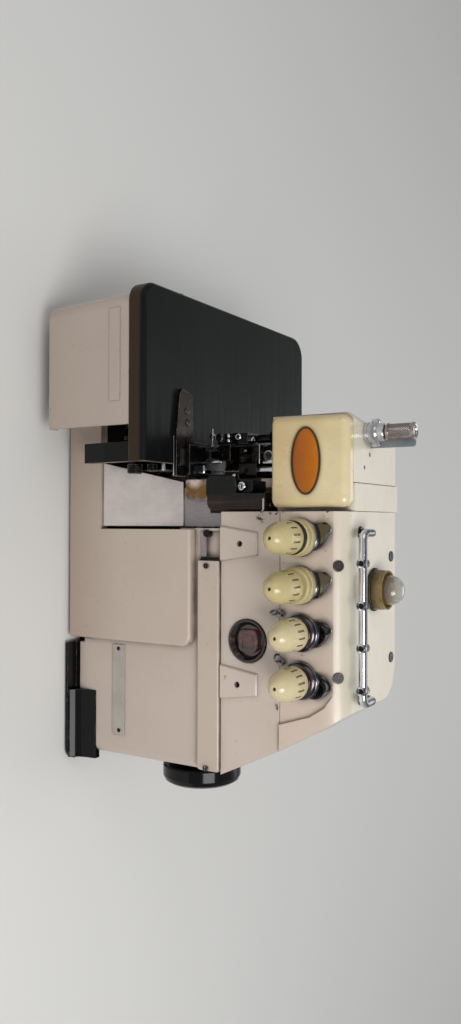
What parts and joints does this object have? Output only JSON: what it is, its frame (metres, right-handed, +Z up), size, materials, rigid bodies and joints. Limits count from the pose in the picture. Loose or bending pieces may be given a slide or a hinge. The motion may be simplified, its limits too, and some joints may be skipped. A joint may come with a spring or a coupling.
{
  "type": "overlock sewing machine",
  "caption": "Industrial overlock machine head with swinging cloth plate, front cover, tension knobs, needle, loopers, knives, presser foot and handwheel.",
  "frame": {"origin": "on the floor plane at the centre of the bounding box", "axes": "+X to the operator's right, towards the handwheel; +Y away from the operator; +Z up"},
  "size_m": [0.416, 0.27, 0.303],
  "materials": {
    "body_paint": "pinkish cream stoved enamel, worn",
    "plate_steel": "dark burnished steel",
    "black_paint": "gloss black",
    "rubber": "matt black",
    "bare_steel": "brushed",
    "dark_steel": "oily black oxide",
    "chrome": "bright plated",
    "bronze": "turned",
    "cover_plastic": "yellowed cream, gloss",
    "knob_plastic": "yellowed cream, gloss",
    "badge_orange": "orange, gloss",
    "aluminium": "satin",
    "window_dark": "dark brown",
    "dome_glass": "clear, amber at the foot",
    "cloudy_plastic": "cloudy grey"
  },
  "bodies": {
    "machine": {"base_tray": "black_paint", "rubber_feet": "rubber", "machine_frame": "body_paint", "shaft_bushes": "bronze", "hinge_pins": "bare_steel", "chute_back": "bare_steel", "strip_cover": "body_paint", "body_screws": "dark_steel", "blank_strip": "aluminium", "front_panel": "body_paint", "window_bezel": "window_dark", "window_lens": "window_dark", "upper_frame": "body_paint", "top_cover": "body_paint", "oil_dome": "dome_glass", "dome_gasket": "rubber", "thread_guide_bar": "chrome", "tension_posts": "bare_steel", "tension_rings": "knob_plastic", "tension_discs": "chrome", "tension_springs": "bare_steel", "thread_horns": "chrome", "head_casting": "body_paint", "head_cover": "body_paint", "face_cover": "cover_plastic", "badge": "badge_orange", "lock_nut": "chrome", "thread_strip": "cloudy_plastic", "needle_plate": "dark_steel", "lower_knife": "dark_steel", "knife_guard": "black_paint"},
    "drive": {"main_shaft": "bare_steel", "handwheel": "black_paint"},
    "plate_assembly": {"cloth_plate": "plate_steel", "side_cover": "body_paint", "latch_bracket": "dark_steel"},
    "latch": {"latch_lever": "black_paint"},
    "cover_carrier": {"cover_sleeves": "bare_steel"},
    "cover_door": {"front_cover": "body_paint", "chip_chute": "bare_steel"},
    "presser": {"presser_arm": "dark_steel", "presser_shaft": "bare_steel", "lift_lever": "dark_steel"},
    "foot": {"presser_foot": "dark_steel"},
    "pressure_rod": {"presser_rod": "bare_steel"},
    "needle_group": {"needle_bar": "bare_steel", "needle_clamp": "bare_steel", "needle": "chrome"},
    "knife_group": {"upper_knife": "bare_steel", "knife_holder": "dark_steel"},
    "looper_low": {"lower_looper": "bare_steel"},
    "looper_high": {"upper_looper": "bare_steel"},
    "feed_rear": {"main_feed_dog": "dark_steel"},
    "feed_front": {"front_feed_dog": "dark_steel"},
    "pressure_knob": {"pressure_screw": "chrome"},
    "button": {"stitch_button": "black_paint"},
    "knob_1": {"tension_knob_1": "knob_plastic"},
    "knob_2": {"tension_knob_2": "knob_plastic"},
    "knob_3": {"tension_knob_3": "knob_plastic"},
    "knob_4": {"tension_knob_4": "knob_plastic"}
  },
  "joints": [
    {"name": "handwheel_turn", "type": "hinge", "parent": "machine", "child": "drive", "pos_m": [0.195, -0.022, 0.098], "axis": [1, 0, 0], "continuous": true},
    {"name": "plate_swing", "type": "hinge", "parent": "machine", "child": "plate_assembly", "pos_m": [-0.08, 0.075, 0.1], "axis": [0, 0, 1], "range_deg": [-75, 0]},
    {"name": "latch_turn", "type": "hinge", "parent": "plate_assembly", "child": "latch", "pos_m": [-0.076, -0.115, 0.094], "axis": [1, 0, 0], "range_deg": [-12, 0], "stiffness_Nm_per_rad": 0.4, "springref_deg": 17.19},
    {"name": "cover_slide", "type": "slide", "parent": "machine", "child": "cover_carrier", "axis": [1, 0, 0], "range_m": [0, 0.004]},
    {"name": "cover_open", "type": "hinge", "parent": "cover_carrier", "child": "cover_door", "pos_m": [0, -0.0845, 0.012], "axis": [1, 0, 0], "range_deg": [0, 88]},
    {"name": "presser_lift", "type": "hinge", "parent": "machine", "child": "presser", "pos_m": [-0.06, 0.03, 0.172], "axis": [1, 0, 0], "range_deg": [-5.5, 0], "stiffness_Nm_per_rad": 5, "springref_deg": 17.19},
    {"name": "foot_level", "type": "hinge", "parent": "presser", "child": "foot", "pos_m": [-0.076, -0.052, 0.131], "axis": [1, 0, 0], "range_deg": [0, 5.6]},
    {"name": "pressure_rod_slide", "type": "slide", "parent": "machine", "child": "pressure_rod", "axis": [0, 0, 1], "range_m": [0, 0.0075]},
    {"name": "needle_bar_slide", "type": "slide", "parent": "machine", "child": "needle_group", "axis": [0, 0, 1], "range_m": [-0.025, 0]},
    {"name": "upper_knife_slide", "type": "slide", "parent": "machine", "child": "knife_group", "axis": [0, 0, 1], "range_m": [-0.0061, 0]},
    {"name": "lower_looper_turn", "type": "hinge", "parent": "machine", "child": "looper_low", "pos_m": [-0.1, -0.056, 0.05], "axis": [0, 1, 0], "range_deg": [-16.1, 0]},
    {"name": "upper_looper_turn", "type": "hinge", "parent": "machine", "child": "looper_high", "pos_m": [-0.042, -0.062, 0.062], "axis": [0, 1, 0], "range_deg": [0, 11.1]},
    {"name": "feed_rear_slide", "type": "slide", "parent": "machine", "child": "feed_rear", "axis": [0, 1, 0], "range_m": [-0.0031, 0]},
    {"name": "feed_front_slide", "type": "slide", "parent": "machine", "child": "feed_front", "axis": [0, 1, 0], "range_m": [-0.0041, 0]},
    {"name": "pressure_screw_turn", "type": "hinge", "parent": "machine", "child": "pressure_knob", "pos_m": [-0.0887, -0.0445, 0.28], "axis": [0, 0, 1], "range_deg": [-720, 720]},
    {"name": "stitch_button_push", "type": "slide", "parent": "machine", "child": "button", "axis": [0, 1, 0], "range_m": [0, 0.006], "stiffness_N_per_m": 300, "springref_m": -0.003},
    {"name": "tension_knob_1_turn", "type": "hinge", "parent": "machine", "child": "knob_1", "pos_m": [-0.0085, -0.11, 0.228], "axis": [0, 1, 0], "range_deg": [-900, 900]},
    {"name": "tension_knob_2_turn", "type": "hinge", "parent": "machine", "child": "knob_2", "pos_m": [0.0272, -0.11, 0.228], "axis": [0, 1, 0], "range_deg": [-900, 900]},
    {"name": "tension_knob_3_turn", "type": "hinge", "parent": "machine", "child": "knob_3", "pos_m": [0.0629, -0.11, 0.228], "axis": [0, 1, 0], "range_deg": [-900, 900]},
    {"name": "tension_knob_4_turn", "type": "hinge", "parent": "machine", "child": "knob_4", "pos_m": [0.0986, -0.11, 0.228], "axis": [0, 1, 0], "range_deg": [-900, 900]}
  ],
  "couplings": [
    {"joint": "foot_level", "follows": "presser_lift", "ratio": -1},
    {"joint": "pressure_rod_slide", "follows": "presser_lift", "m_per_rad": -0.0745},
    {"joint": "upper_knife_slide", "follows": "needle_bar_slide", "ratio": 0.24},
    {"joint": "lower_looper_turn", "follows": "needle_bar_slide", "rad_per_m": 11.17},
    {"joint": "upper_looper_turn", "follows": "needle_bar_slide", "rad_per_m": -7.6794},
    {"joint": "feed_rear_slide", "follows": "needle_bar_slide", "ratio": 0.12},
    {"joint": "feed_front_slide", "follows": "needle_bar_slide", "ratio": 0.16}
  ]
}
